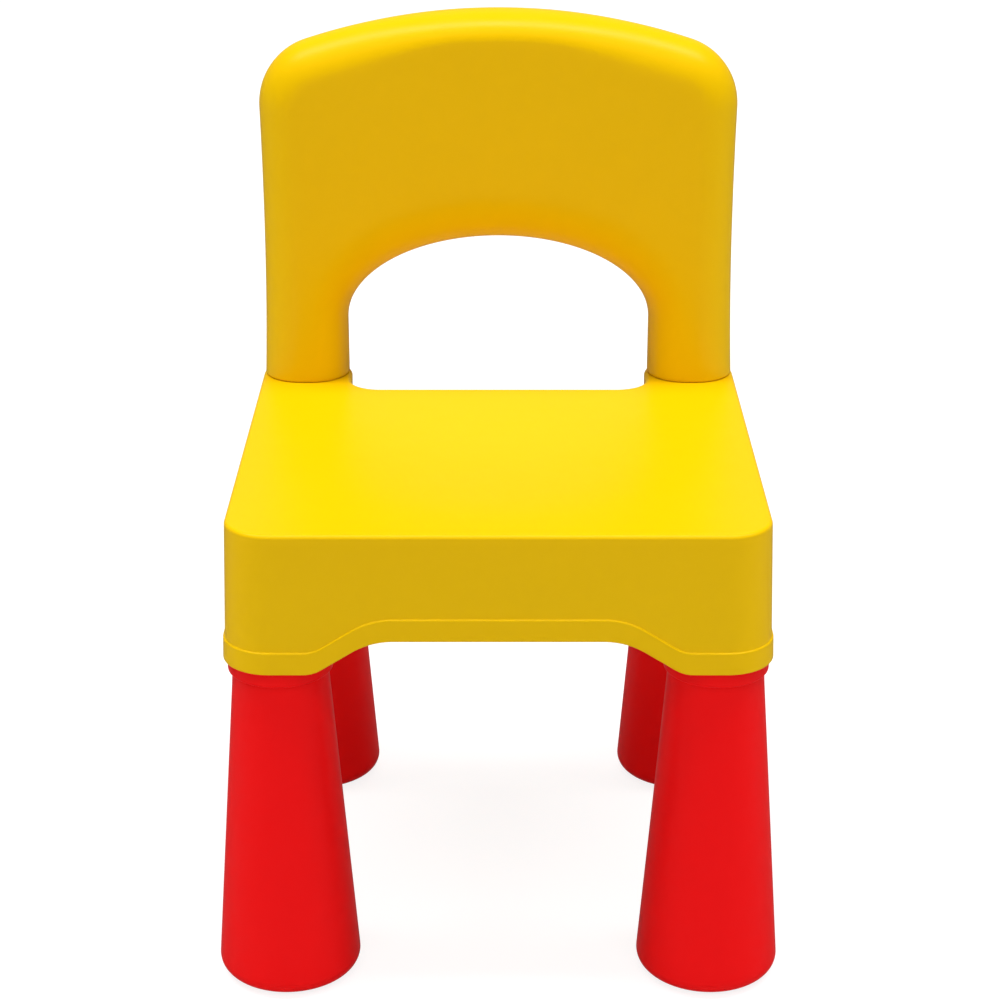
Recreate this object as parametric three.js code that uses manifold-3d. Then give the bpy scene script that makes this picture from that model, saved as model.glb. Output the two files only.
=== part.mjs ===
// A child's one-seat plastic chair: a yellow seat moulding on four red twist-in legs,
// with a yellow lift-out backrest. Millimetres, +Z up, the sitter faces -Y.
// The origin is on the floor under the middle of the chair.
// Left and right are the sitter's, so left is +X.
import * as THREE from 'three';
import { mergeVertices } from 'three/addons/utils/BufferGeometryUtils.js';
import Module from 'manifold-3d';

const wasm = await Module();
wasm.setup();

// ---------------------------------------------------------------- driving dimensions
const GAP = 0.3;                 // clearance between pieces that meet

const SEAT_TOP = 236;            // height of the sitting surface
const SEAT_HALF_X = 125;         // half width just under the top edge
const SEAT_HALF_Y = 126.8;       // half depth just under the top edge
const SEAT_CORNER = 22;          // plan radius of the four outer corners
const SEAT_EDGE = 3.4;           // rounding of the top edge
const SEAT_WALL = 3;
const SEAT_TOP_WALL = 3.8;
const DRAFT = 0.03;              // the skirt widens by this much per millimetre of drop

const NOTCH_HALF_X = 78;         // rear notch between the two corner bosses
const NOTCH_Y = 76;
const NOTCH_FILLET = 16;
const BOSS_CORNER = 24;          // plan radius of a boss's inner rear corner

const DISH_DEPTH = 2;            // shallow oval dish in the sitting surface
const DISH_HALF_X = 92;
const DISH_HALF_Y = 78;
const DISH_Y = -22;

const RIM_LOW = 168;             // lower edge of the skirt at the corners
const RIM_HIGH = 184.5;          // and in the middle of each side
const WAVE_LOW_AT = 90;          // distance from the middle where the edge starts to rise
const WAVE_SLOPE = 32.6;         // steepest slope of the rise, in degrees
const WAVE_LOW_RADIUS = 22;      // the rise starts and ends in these two arcs
const WAVE_HIGH_RADIUS = 38;
const BAND_HEIGHT = 11;
const BAND_PROUD = 1.1;

const LEG_X = 101.9;
const LEG_Y = 103.3;
const FOOT_RADIUS = 34.2;
const FOOT_ROUND = 7.2;
const FOOT_LIFT = 0.8;           // height of the leg's own bottom face: the pad stands below it
const NECK_RADIUS = 22.6;
const NECK_TOP = 158;
const COLLAR_RADIUS = 25.4;
const COLLAR_UNDERSIDE = 160.9;
const COLLAR_TOP = RIM_LOW - GAP;
const LEG_WALL = 2.6;
const FOOT_TANGENT = 4.4;        // degrees past level at which the foot's round meets the cone

const PLUG_RADIUS = 18.6;
const PLUG_HEIGHT = 20;
const SOCKET_RADIUS = PLUG_RADIUS + GAP;
const SOCKET_OUTER = 22.6;
const SOCKET_DEPTH = PLUG_HEIGHT + 1.5;
const SOCKET_WEB = 4;            // web between a rear leg's socket and the tenon above it
const LUG_REACH = 2.1;           // how far a bayonet lug stands out of the plug
const LUG_HALF_ANGLE = 14;       // degrees
const LUG_BOTTOM = 4;            // heights above the collar's top
const LUG_TOP = 8;
const LUG_COUNT = 3;
const LUG_SLACK = 2;             // degrees of play each side of a lug in its slot
const TWIST = 60;                // degrees from locked to released

const PAD_RADIUS = 26;
const PAD_THICKNESS = 3;
const PAD_EDGE = 0.6;            // small chamfer round the pad's lower edge
const PAD_BOSS_RADIUS = 21.6;    // ring that plugs into the leg
const PAD_BOSS_WALL = 2.5;
const PAD_BOSS_TOP = 6.4;

const POST_X = 101.8;            // middle of a backrest post
const POST_Y = 104.8;
const BACK_HALF_THICKNESS = 19.8;
const BACK_TOP = 429.8;
const BACK_HALF_X = 122.9;
const BACK_FOOT_HALF_X = 124.3;  // the posts flare a little towards the seat
const BACK_WAIST_X = 121.2;      // pull of the waist between the flare and the crown
const BACK_WAIST = 300;
const CROWN_RADIUS = 318;
const BACK_CORNER = 35;
const ARCH_HALF_X = 79.5;        // opening under the backrest
const ARCH_RISE = 44.5;
const ARCH_SPRING = 267;         // height at which its sides start to curve
const BACK_ROUND = 20;           // how far the rounded edge reaches in from the outline
const BACK_WALL = 3;

const TENON_HALF_X = 17;
const TENON_HALF_Y = 14.5;
const TENON_DEPTH = 40;
const TENON_WALL = 2.6;
const TENON_SLACK = 1.5;         // free depth under a tenon
const SLEEVE_WALL = 3;           // wall of the seat's sleeve round a tenon

const COVER_INSET = 27;          // from the backrest's outline to the cover's
const COVER_HALF_X = 94;
const COVER_THICKNESS = 3;
const COVER_CORNER = 9;
const COVER_LEDGE = 3;           // ledge round the rear opening that the cover sits on
const COVER_LEDGE_DEPTH = 2.5;
const COVER_RIM_DEPTH = 5;       // locating rim inside the cover
const COVER_RIM_WALL = 2.2;

const RIB_THICKNESS = 2.4;       // ribs under the sitting surface
const RIB_HEIGHT = 7;
const RIBS_AT_X = [-60, 0, 60];
const RIBS_AT_Y = [-62, -6, 50];

const ARC_STEPS = 3;             // segments of one outline arc
const BEVEL_STEPS = 4;           // segments of a rounded edge
const ROUND_STEPS = 28;          // segments round a leg
const FAR = 200;                 // reaches past every side of the chair
const OVERCUT = 5;               // how far a cutting or joining solid runs past the surface it meets

// ---------------------------------------------------------------- solids
// A closed three.js geometry as a manifold solid.
function solid(geometry) {
  const bare = geometry.clone();
  for (const name of Object.keys(bare.attributes)) {
    if (name !== 'position') bare.deleteAttribute(name);
  }
  const merged = mergeVertices(bare, 1e-4);
  return new wasm.Manifold(new wasm.Mesh({
    numProp: 3,
    vertProperties: new Float32Array(merged.attributes.position.array),
    triVerts: new Uint32Array(merged.index.array),
  }));
}

function geometryOf(manifold) {
  const mesh = manifold.getMesh();
  const geometry = new THREE.BufferGeometry();
  geometry.setAttribute('position', new THREE.BufferAttribute(mesh.vertProperties, 3));
  geometry.setIndex(new THREE.BufferAttribute(mesh.triVerts, 1));
  geometry.computeVertexNormals();
  return geometry;
}

// A plan outline raised from one height to another.
function prism(shape, bottom, top) {
  const geometry = new THREE.ExtrudeGeometry(shape, {
    depth: top - bottom, bevelEnabled: false, curveSegments: ARC_STEPS,
  });
  return geometry.translate(0, 0, bottom);
}

// An outline drawn in X and Z, swept from one Y to another.
function crosswise(shape, front, rear) {
  const geometry = new THREE.ExtrudeGeometry(shape, {
    depth: rear - front, bevelEnabled: false, curveSegments: ARC_STEPS,
  });
  return geometry.rotateX(Math.PI / 2).translate(0, rear, 0);
}

function box(sizeX, sizeY, bottom, top, x = 0, y = 0) {
  const geometry = new THREE.BoxGeometry(sizeX, sizeY, top - bottom);
  return solid(geometry.translate(x, y, (bottom + top) / 2));
}

function cylinder(radius, bottom, top) {
  const geometry = new THREE.CylinderGeometry(radius, radius, top - bottom, ROUND_STEPS);
  return geometry.rotateX(Math.PI / 2).translate(0, 0, (bottom + top) / 2);
}

function ellipticCylinder(halfX, halfY, bottom, top, x, y) {
  const geometry = cylinder(1, bottom, top).scale(halfX, halfY, 1);
  return solid(geometry.translate(x, y, 0));
}

// Turns a profile of [radius, height] points round Z.
function turned(profile) {
  const points = profile.map(([radius, height]) => new THREE.Vector2(radius, height));
  return new THREE.LatheGeometry(points, ROUND_STEPS).rotateX(Math.PI / 2);
}

// The points of a quarter-round in a profile, from one angle to another in degrees.
function roundPoints(radius, height, r, fromAngle, toAngle, steps) {
  const points = [];
  for (let i = 0; i <= steps; i += 1) {
    const angle = THREE.MathUtils.degToRad(fromAngle + (toAngle - fromAngle) * i / steps);
    points.push([radius + r * Math.cos(angle), height + r * Math.sin(angle)]);
  }
  return points;
}

// ---------------------------------------------------------------- seat
// Plan outline of the seat, moved inwards by inset.
function seatOutline(inset) {
  const x = SEAT_HALF_X - inset;
  const y = SEAT_HALF_Y - inset;
  const corner = SEAT_CORNER - inset;
  const boss = BOSS_CORNER - inset;
  const notchX = NOTCH_HALF_X + inset;
  const notchY = NOTCH_Y - inset;
  const fillet = NOTCH_FILLET + inset;
  const quarter = Math.PI / 2;
  const shape = new THREE.Shape();
  shape.moveTo(-x + corner, -y);
  shape.lineTo(x - corner, -y);
  shape.absarc(x - corner, -y + corner, corner, -quarter, 0, false);
  shape.lineTo(x, y - corner);
  shape.absarc(x - corner, y - corner, corner, 0, quarter, false);
  shape.lineTo(notchX + boss, y);
  shape.absarc(notchX + boss, y - boss, boss, quarter, 2 * quarter, false);
  shape.lineTo(notchX, notchY + fillet);
  shape.absarc(notchX - fillet, notchY + fillet, fillet, 0, -quarter, true);
  shape.lineTo(-notchX + fillet, notchY);
  shape.absarc(-notchX + fillet, notchY + fillet, fillet, -quarter, -2 * quarter, true);
  shape.lineTo(-notchX, y - boss);
  shape.absarc(-notchX - boss, y - boss, boss, 0, quarter, false);
  shape.lineTo(-x + corner, y);
  shape.absarc(-x + corner, y - corner, corner, quarter, 2 * quarter, false);
  shape.lineTo(-x, -y + corner);
  shape.absarc(-x + corner, -y + corner, corner, 2 * quarter, 3 * quarter, false);
  return shape;
}

// Widens a geometry towards the bottom, as the mould's draft does.
function drafted(geometry) {
  const position = geometry.attributes.position;
  const straightTop = SEAT_TOP - SEAT_EDGE;
  for (let i = 0; i < position.count; i += 1) {
    const drop = Math.max(0, straightTop - position.getZ(i));
    const grow = 1 + DRAFT * drop / SEAT_HALF_X;
    position.setX(i, position.getX(i) * grow);
    position.setY(i, position.getY(i) * grow);
  }
  return geometry;
}

// The whole outer block of the seat, with its rounded top edge.
function seatBlock() {
  const bottom = RIM_LOW - OVERCUT;
  const geometry = new THREE.ExtrudeGeometry(seatOutline(SEAT_EDGE), {
    depth: SEAT_TOP - SEAT_EDGE - bottom,
    bevelEnabled: true,
    bevelThickness: SEAT_EDGE,
    bevelSize: SEAT_EDGE,
    bevelSegments: BEVEL_STEPS,
    curveSegments: ARC_STEPS,
  });
  return solid(drafted(geometry.translate(0, 0, bottom)));
}

// Height of the skirt's lower edge, as an outline from one side to the other, raised by lift.
function waveShape(lift) {
  const low = RIM_LOW + lift;
  const high = RIM_HIGH + lift;
  const slope = THREE.MathUtils.degToRad(WAVE_SLOPE);
  const radii = WAVE_LOW_RADIUS + WAVE_HIGH_RADIUS;
  const straight = (high - low - radii * (1 - Math.cos(slope))) / Math.tan(slope);
  const highAt = WAVE_LOW_AT - radii * Math.sin(slope) - straight;
  const down = -Math.PI / 2;
  const up = Math.PI / 2;
  const shape = new THREE.Shape();
  shape.moveTo(-FAR, 0);
  shape.lineTo(FAR, 0);
  shape.lineTo(FAR, low);
  shape.absarc(WAVE_LOW_AT, low + WAVE_LOW_RADIUS, WAVE_LOW_RADIUS, down, down - slope, true);
  shape.absarc(highAt, high - WAVE_HIGH_RADIUS, WAVE_HIGH_RADIUS, up - slope, up, false);
  shape.absarc(-highAt, high - WAVE_HIGH_RADIUS, WAVE_HIGH_RADIUS, up, up + slope, false);
  shape.absarc(-WAVE_LOW_AT, low + WAVE_LOW_RADIUS, WAVE_LOW_RADIUS, down + slope, down, true);
  shape.lineTo(-FAR, low);
  return shape;
}

// All the space below the wavy lower edge, which runs the same way along all four sides.
function belowWave(lift) {
  const alongX = solid(crosswise(waveShape(lift), -FAR, FAR));
  const alongY = solid(crosswise(waveShape(lift), -FAR, FAR).rotateZ(Math.PI / 2));
  return alongX.add(alongY);
}

// The band that stands proud along the lower edge.
function rimBand() {
  const bottom = RIM_LOW - OVERCUT;
  const top = RIM_HIGH + BAND_HEIGHT + OVERCUT;
  const outer = solid(drafted(prism(seatOutline(-BAND_PROUD), bottom, top)));
  const inner = solid(drafted(prism(seatOutline(SEAT_WALL / 2), bottom - OVERCUT, top + OVERCUT)));
  return outer.subtract(inner).intersect(belowWave(BAND_HEIGHT));
}

// A tall ellipsoid whose lowest part cuts the oval dish.
function seatDish() {
  const height = 30 * DISH_DEPTH;
  const rise = height - DISH_DEPTH;
  const rimScale = Math.sqrt(1 - (rise / height) ** 2);
  const rings = 44;
  const geometry = new THREE.SphereGeometry(1, ROUND_STEPS, rings).rotateX(Math.PI / 2);
  geometry.scale(DISH_HALF_X / rimScale, DISH_HALF_Y / rimScale, height);
  return solid(geometry.translate(0, DISH_Y, SEAT_TOP + rise));
}

// A sector of a ring, used for the bayonet lugs and their slots. Angles in degrees.
function ringSector(inner, outer, fromAngle, toAngle, bottom, top) {
  const from = THREE.MathUtils.degToRad(fromAngle);
  const to = THREE.MathUtils.degToRad(toAngle);
  const shape = new THREE.Shape();
  shape.absarc(0, 0, outer, from, to, false);
  shape.absarc(0, 0, inner, to, from, true);
  return solid(prism(shape, bottom, top));
}

// The hole that takes a leg's plug: a bore, and for each lug a way in and a groove to turn in.
// A leg is released by turning it clockwise as seen from above.
function legBore(bottom, top) {
  const inner = PLUG_RADIUS - 1;
  const groove = PLUG_RADIUS + LUG_REACH + GAP;
  const wide = LUG_HALF_ANGLE + LUG_SLACK;
  const mouth = bottom - 1;
  const roof = bottom + LUG_TOP + GAP;
  const floor = bottom + LUG_BOTTOM - 2 * GAP;
  let bore = solid(cylinder(SOCKET_RADIUS, mouth, top));
  for (let i = 0; i < LUG_COUNT; i += 1) {
    const lug = i * 360 / LUG_COUNT;
    const released = lug - TWIST;
    const wayIn = ringSector(inner, groove, released - wide, released + wide, mouth, roof);
    const turn = ringSector(inner, groove, released - wide, lug + wide, floor, roof);
    bore = bore.add(wayIn).add(turn);
  }
  return bore;
}

function atLegs(make) {
  const pieces = [];
  for (const x of [-LEG_X, LEG_X]) {
    for (const y of [-LEG_Y, LEG_Y]) {
      pieces.push(make(y > 0).translate([x, y, 0]));
    }
  }
  return pieces;
}

function seatShell() {
  const block = seatBlock();
  const ceiling = SEAT_TOP - SEAT_TOP_WALL;
  const hollow = solid(drafted(prism(seatOutline(SEAT_WALL), 0, ceiling)));
  const core = solid(drafted(prism(seatOutline(SEAT_WALL / 2), 0, ceiling + 1)));
  const webTop = RIM_LOW + SOCKET_DEPTH + SOCKET_WEB;
  const sleeveBottom = webTop - SOCKET_WEB / 2;
  const tenonFloor = SEAT_TOP - TENON_DEPTH - TENON_SLACK;
  const ribBottom = ceiling - RIB_HEIGHT;
  let seat = block.subtract(hollow).add(rimBand()).subtract(belowWave(0));

  const towerAt = (rear) => solid(cylinder(SOCKET_OUTER, RIM_LOW, rear ? webTop : ceiling + 1));
  const inner = [...atLegs(towerAt)];
  for (const x of RIBS_AT_X) {
    inner.push(box(RIB_THICKNESS, 2 * FAR, ribBottom, ceiling + 1, x, 0));
  }
  for (const y of RIBS_AT_Y) {
    inner.push(box(2 * FAR, RIB_THICKNESS, ribBottom, ceiling + 1, 0, y));
  }
  for (const x of [-POST_X, POST_X]) {
    const outerX = TENON_HALF_X + GAP + SLEEVE_WALL;
    const outerY = TENON_HALF_Y + GAP + SLEEVE_WALL;
    inner.push(ellipticCylinder(outerX, outerY, sleeveBottom, ceiling + 1, x, POST_Y));
  }
  const inside = inner.reduce((all, next) => all.add(next));
  seat = seat.add(inside.intersect(core));

  const boreTop = (rear) => (rear ? RIM_LOW + SOCKET_DEPTH : ceiling - SLEEVE_WALL);
  for (const bore of atLegs((rear) => legBore(RIM_LOW, boreTop(rear)))) {
    seat = seat.subtract(bore);
  }
  for (const x of [-POST_X, POST_X]) {
    const boreX = TENON_HALF_X + GAP;
    const boreY = TENON_HALF_Y + GAP;
    seat = seat.subtract(ellipticCylinder(boreX, boreY, tenonFloor, SEAT_TOP + OVERCUT, x, POST_Y));
  }
  return geometryOf(seat.subtract(seatDish()));
}

// ---------------------------------------------------------------- backrest
// Front outline of the backrest and its posts in X and Z, moved inwards by inset.
// It runs on below the seat's top, where the posts are cut off later.
function backOutline(inset) {
  const foot = SEAT_TOP - 2 * BACK_ROUND;
  const corner = BACK_CORNER - inset;
  const crown = CROWN_RADIUS - inset;
  const crownCentre = BACK_TOP - CROWN_RADIUS;
  const side = BACK_HALF_X - inset;
  const cornerX = BACK_HALF_X - BACK_CORNER;
  const toCorner = CROWN_RADIUS - BACK_CORNER;
  const cornerZ = crownCentre + Math.sqrt(toCorner ** 2 - cornerX ** 2);
  const meet = Math.atan2(cornerZ - crownCentre, cornerX);
  const archX = ARCH_HALF_X + inset;
  const shape = new THREE.Shape();
  shape.moveTo(archX, foot);
  shape.lineTo(BACK_FOOT_HALF_X - inset, foot);
  shape.lineTo(BACK_FOOT_HALF_X - inset, SEAT_TOP);
  shape.quadraticCurveTo(BACK_WAIST_X - inset, BACK_WAIST, side, cornerZ);
  if (corner > 0) shape.absarc(cornerX, cornerZ, corner, 0, meet, false);
  shape.absarc(0, crownCentre, crown, meet, Math.PI - meet, false);
  if (corner > 0) shape.absarc(-cornerX, cornerZ, corner, Math.PI - meet, Math.PI, false);
  shape.quadraticCurveTo(-BACK_WAIST_X + inset, BACK_WAIST, -BACK_FOOT_HALF_X + inset, SEAT_TOP);
  shape.lineTo(-BACK_FOOT_HALF_X + inset, foot);
  shape.lineTo(-archX, foot);
  shape.lineTo(-archX, ARCH_SPRING);
  shape.absellipse(0, ARCH_SPRING, archX, ARCH_RISE + inset, Math.PI, 0, true, 0);
  return shape;
}

// A softly rounded slab of that outline, drawn in by wall all over.
function backBody(wall) {
  const round = BACK_ROUND - wall;
  const half = BACK_HALF_THICKNESS - wall;
  const flat = 0.6;
  const geometry = new THREE.ExtrudeGeometry(backOutline(BACK_ROUND), {
    depth: flat,
    bevelEnabled: true,
    bevelThickness: half - flat / 2,
    bevelSize: round,
    bevelSegments: BEVEL_STEPS,
    curveSegments: 2 * ARC_STEPS,
  });
  return solid(geometry.rotateX(Math.PI / 2).translate(0, POST_Y + flat / 2, 0));
}

// Outline of the rear cover in X and Z, grown outwards by grow.
function coverOutline(grow) {
  const x = COVER_HALF_X + grow;
  const crownCentre = BACK_TOP - CROWN_RADIUS;
  const crown = CROWN_RADIUS - COVER_INSET + grow;
  const archX = ARCH_HALF_X + COVER_INSET - grow;
  const archZ = ARCH_RISE + COVER_INSET - grow;
  const upper = (at) => crownCentre + Math.sqrt(crown ** 2 - at ** 2);
  const lower = (at) => ARCH_SPRING + archZ * Math.sqrt(1 - (at / archX) ** 2);
  const cut = x - COVER_CORNER;
  const shape = new THREE.Shape();
  const steps = 12;
  for (let i = 0; i <= steps; i += 1) {
    const at = -cut + 2 * cut * i / steps;
    if (i === 0) shape.moveTo(at, lower(at));
    else shape.lineTo(at, lower(at));
  }
  shape.quadraticCurveTo(x, lower(x), x, lower(x) + COVER_CORNER);
  shape.lineTo(x, upper(x) - COVER_CORNER);
  shape.quadraticCurveTo(x, upper(x), cut, upper(cut));
  for (let i = 1; i <= steps; i += 1) {
    const at = cut - 2 * cut * i / steps;
    shape.lineTo(at, upper(at));
  }
  shape.quadraticCurveTo(-x, upper(x), -x, upper(x) - COVER_CORNER);
  shape.lineTo(-x, lower(x) + COVER_CORNER);
  shape.quadraticCurveTo(-x, lower(x), -cut, lower(cut));
  return shape;
}

// The hollow moulding: two posts with a tenon each, and an opening in the rear for the cover.
function backrestShell() {
  const rear = POST_Y + BACK_HALF_THICKNESS;
  const ledge = rear - COVER_THICKNESS - GAP;
  const foot = SEAT_TOP + GAP;
  const floorTop = foot + BACK_WALL + 1;
  const above = (height) => box(2 * FAR, 2 * FAR, height, BACK_TOP + OVERCUT);
  const outer = backBody(0).intersect(above(foot));
  let shell = outer.subtract(backBody(BACK_WALL).intersect(above(floorTop)));

  const frame = solid(crosswise(coverOutline(COVER_LEDGE), ledge - COVER_LEDGE_DEPTH, rear));
  shell = shell.add(frame.intersect(outer));
  shell = shell.subtract(solid(crosswise(coverOutline(GAP), ledge, rear + OVERCUT)));
  shell = shell.subtract(solid(crosswise(coverOutline(-COVER_LEDGE), POST_Y, rear + OVERCUT)));

  for (const x of [-POST_X, POST_X]) {
    const bottom = SEAT_TOP - TENON_DEPTH;
    const boreX = TENON_HALF_X - TENON_WALL;
    const boreY = TENON_HALF_Y - TENON_WALL;
    const tenon = ellipticCylinder(TENON_HALF_X, TENON_HALF_Y, bottom, foot + BACK_WALL, x, POST_Y);
    const bore = ellipticCylinder(boreX, boreY, bottom - 1, floorTop + OVERCUT, x, POST_Y);
    shell = shell.add(tenon).subtract(bore);
  }
  return geometryOf(shell);
}

function backrestRearCover() {
  const rear = POST_Y + BACK_HALF_THICKNESS;
  const plate = solid(crosswise(coverOutline(0), rear - COVER_THICKNESS, rear));
  const locator = COVER_LEDGE + GAP;
  const front = rear - COVER_THICKNESS - COVER_RIM_DEPTH;
  const rim = solid(crosswise(coverOutline(-locator), front, rear - 1));
  const inside = coverOutline(-locator - COVER_RIM_WALL);
  const core = solid(crosswise(inside, front - 1, rear - COVER_THICKNESS));
  return geometryOf(plate.add(rim).subtract(core));
}

// ---------------------------------------------------------------- legs
// A hollow cone, open at the bottom, with a collar and a closed bayonet plug on top.
function leg() {
  const bottom = FOOT_LIFT;
  const plugTop = COLLAR_TOP + PLUG_HEIGHT;
  const plugInside = PLUG_RADIUS - LEG_WALL;
  const plugChamfer = 1.5;
  const recess = PAD_RADIUS + GAP;
  const recessTop = PAD_THICKNESS + GAP;
  const mouth = PAD_BOSS_RADIUS + GAP;
  const flangeTop = recessTop + LEG_WALL;
  const cove = 0.6;
  const profile = [
    [0, plugTop - LEG_WALL],
    [plugInside, plugTop - LEG_WALL],
    [plugInside, COLLAR_UNDERSIDE],
    [NECK_RADIUS - LEG_WALL, NECK_TOP - LEG_WALL],
    [FOOT_RADIUS - 1.5 * LEG_WALL, 2 * FOOT_ROUND],
    [mouth + LEG_WALL, flangeTop],
    [mouth, flangeTop],
    [mouth, recessTop],
    [recess, recessTop],
    [recess, bottom],
    ...roundPoints(FOOT_RADIUS - FOOT_ROUND, bottom + FOOT_ROUND, FOOT_ROUND, -90, FOOT_TANGENT, 4),
    [NECK_RADIUS, NECK_TOP - cove],
    [NECK_RADIUS + cove, NECK_TOP + cove],
    [COLLAR_RADIUS - cove, COLLAR_UNDERSIDE - cove],
    [COLLAR_RADIUS, COLLAR_UNDERSIDE],
    [COLLAR_RADIUS, COLLAR_TOP],
    [PLUG_RADIUS, COLLAR_TOP],
    [PLUG_RADIUS, plugTop - plugChamfer],
    [PLUG_RADIUS - plugChamfer, plugTop],
    [0, plugTop],
  ];
  let body = solid(turned(profile));
  const lugBottom = COLLAR_TOP + LUG_BOTTOM;
  const lugTop = COLLAR_TOP + LUG_TOP;
  for (let i = 0; i < LUG_COUNT; i += 1) {
    const middle = i * 360 / LUG_COUNT;
    const from = middle - LUG_HALF_ANGLE;
    const to = middle + LUG_HALF_ANGLE;
    body = body.add(ringSector(PLUG_RADIUS - 1, PLUG_RADIUS + LUG_REACH, from, to, lugBottom, lugTop));
  }
  return geometryOf(body);
}

// A rubber disc with a ring on top that plugs into the open foot of a leg.
function footPad() {
  const bossInside = PAD_BOSS_RADIUS - PAD_BOSS_WALL;
  return turned([
    [0, 0],
    [PAD_RADIUS - PAD_EDGE, 0],
    [PAD_RADIUS, PAD_EDGE],
    [PAD_RADIUS, PAD_THICKNESS],
    [PAD_BOSS_RADIUS, PAD_THICKNESS],
    [PAD_BOSS_RADIUS, PAD_BOSS_TOP],
    [bossInside, PAD_BOSS_TOP],
    [bossInside, PAD_THICKNESS],
    [0, PAD_THICKNESS],
  ]);
}

// ---------------------------------------------------------------- assembly
const yellow = { color: 0xf5c800, roughness: 0.34, metalness: 0 };
const red = { color: 0xe5101a, roughness: 0.36, metalness: 0 };
const black = { color: 0x1a1716, roughness: 0.8, metalness: 0 };

function piece(name, geometry, finish, x = 0, y = 0) {
  const mesh = new THREE.Mesh(geometry, new THREE.MeshStandardMaterial(finish));
  mesh.name = name;
  mesh.position.set(x, y, 0);
  return mesh;
}

const group = new THREE.Group();
group.add(piece('seat_shell', seatShell(), yellow));
group.add(piece('backrest_shell', backrestShell(), yellow));
group.add(piece('backrest_rear_cover', backrestRearCover(), yellow));
for (const [row, y] of [['front', -LEG_Y], ['rear', LEG_Y]]) {
  for (const [side, x] of [['left', LEG_X], ['right', -LEG_X]]) {
    group.add(piece(`leg_${row}_${side}`, leg(), red, x, y));
    group.add(piece(`foot_pad_${row}_${side}`, footPad(), black, x, y));
  }
}

export default group;
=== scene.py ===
"""A child's yellow chair with red legs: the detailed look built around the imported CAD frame.

Everything is in metres, in the frame's own axes: +Z up, the sitter faces -Y, +X is the sitter's left.
"""

import math

import bmesh
import bpy
import numpy as np
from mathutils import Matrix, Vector
from mathutils.geometry import delaunay_2d_cdt


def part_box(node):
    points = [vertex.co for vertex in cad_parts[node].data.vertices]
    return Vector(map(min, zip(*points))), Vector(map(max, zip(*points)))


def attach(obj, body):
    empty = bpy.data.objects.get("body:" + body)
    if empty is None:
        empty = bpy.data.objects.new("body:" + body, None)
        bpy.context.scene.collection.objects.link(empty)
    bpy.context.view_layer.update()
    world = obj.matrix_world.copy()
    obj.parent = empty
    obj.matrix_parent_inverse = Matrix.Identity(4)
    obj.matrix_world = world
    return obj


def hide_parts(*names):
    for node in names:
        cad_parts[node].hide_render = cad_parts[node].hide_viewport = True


MM = 0.001
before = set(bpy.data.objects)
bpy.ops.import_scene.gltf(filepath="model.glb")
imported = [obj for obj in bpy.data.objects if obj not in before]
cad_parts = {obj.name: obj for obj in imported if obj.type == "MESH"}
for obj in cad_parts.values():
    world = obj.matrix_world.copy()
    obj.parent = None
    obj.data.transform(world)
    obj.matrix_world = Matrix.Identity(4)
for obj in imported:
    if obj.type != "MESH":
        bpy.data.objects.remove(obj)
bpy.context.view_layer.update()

# ---------------------------------------------------------------- sizes taken from the frame
seat_low, seat_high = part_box("seat_shell")
back_low, back_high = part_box("backrest_shell")
panel_low, panel_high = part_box("backrest_rear_cover")
leg_low, leg_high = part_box("leg_front_left")
pad_low, pad_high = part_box("foot_pad_front_left")

GAP = 0.3 * MM                       # between pieces that meet or slide in each other
OVERLAP = 0.5 * MM                   # how far a rib, socket or sleeve runs into the part it joins
HUB = 0.5 * MM                       # radius where a turned profile starts, beside its axis

SEAT_TOP = seat_high.z
RIM_LOW = seat_low.z                 # the skirt's lower edge at the corners
SEAT_EDGE = 2.0 * MM                 # rounding of the top edge
BAND_PROUD = 0.8 * MM                # the band along the skirt's lower edge stands out this far
BAND_HEIGHT = 11 * MM
RIM_SPREAD = 0.0155                  # the drafted skirt is this share wider at its rim
SEAT_HALF_X = seat_high.x / (1 + RIM_SPREAD) - BAND_PROUD
SEAT_HALF_Y = seat_high.y / (1 + RIM_SPREAD) - BAND_PROUD
SEAT_CORNER = 22 * MM                # plan radius of the outer corners
SEAT_WALL = 3 * MM
CEILING = SEAT_TOP - 3.8 * MM        # underside of the sitting surface
NOTCH_HALF_X = 78 * MM               # the rear notch between the two corner bosses
NOTCH_Y = 76 * MM
NOTCH_FILLET = 16 * MM
BOSS_CORNER = 24 * MM                # plan radius of a boss's inner rear corner

DISH_DEPTH = 2 * MM                  # shallow oval dish in the sitting surface
DISH_HALF_X = 97 * MM
DISH_HALF_Y = 84 * MM
DISH_Y = -22 * MM

RIM_RISE = 16.5 * MM                 # how much higher the rim runs in the middle of each side
WAVE_LOW_AT = 88 * MM                # distance from the middle where the rim starts to rise
WAVE_SLOPE = math.radians(32.6)      # steepest slope of the rise
WAVE_LOW_RADIUS = 15 * MM            # the rise starts and ends in these two arcs
WAVE_HIGH_RADIUS = 35 * MM

RIB_THICKNESS = 2.4 * MM
RIB_HEIGHT = 7 * MM
RIB_TAPER = 0.3 * MM
CROSS_RIB_SHORTER = 0.3 * MM         # keeps the two sets of lower edges apart
RIBS_AT_X = [-60 * MM, 0, 60 * MM]
RIBS_AT_Y = [-62 * MM, -6 * MM, 50 * MM]

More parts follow.
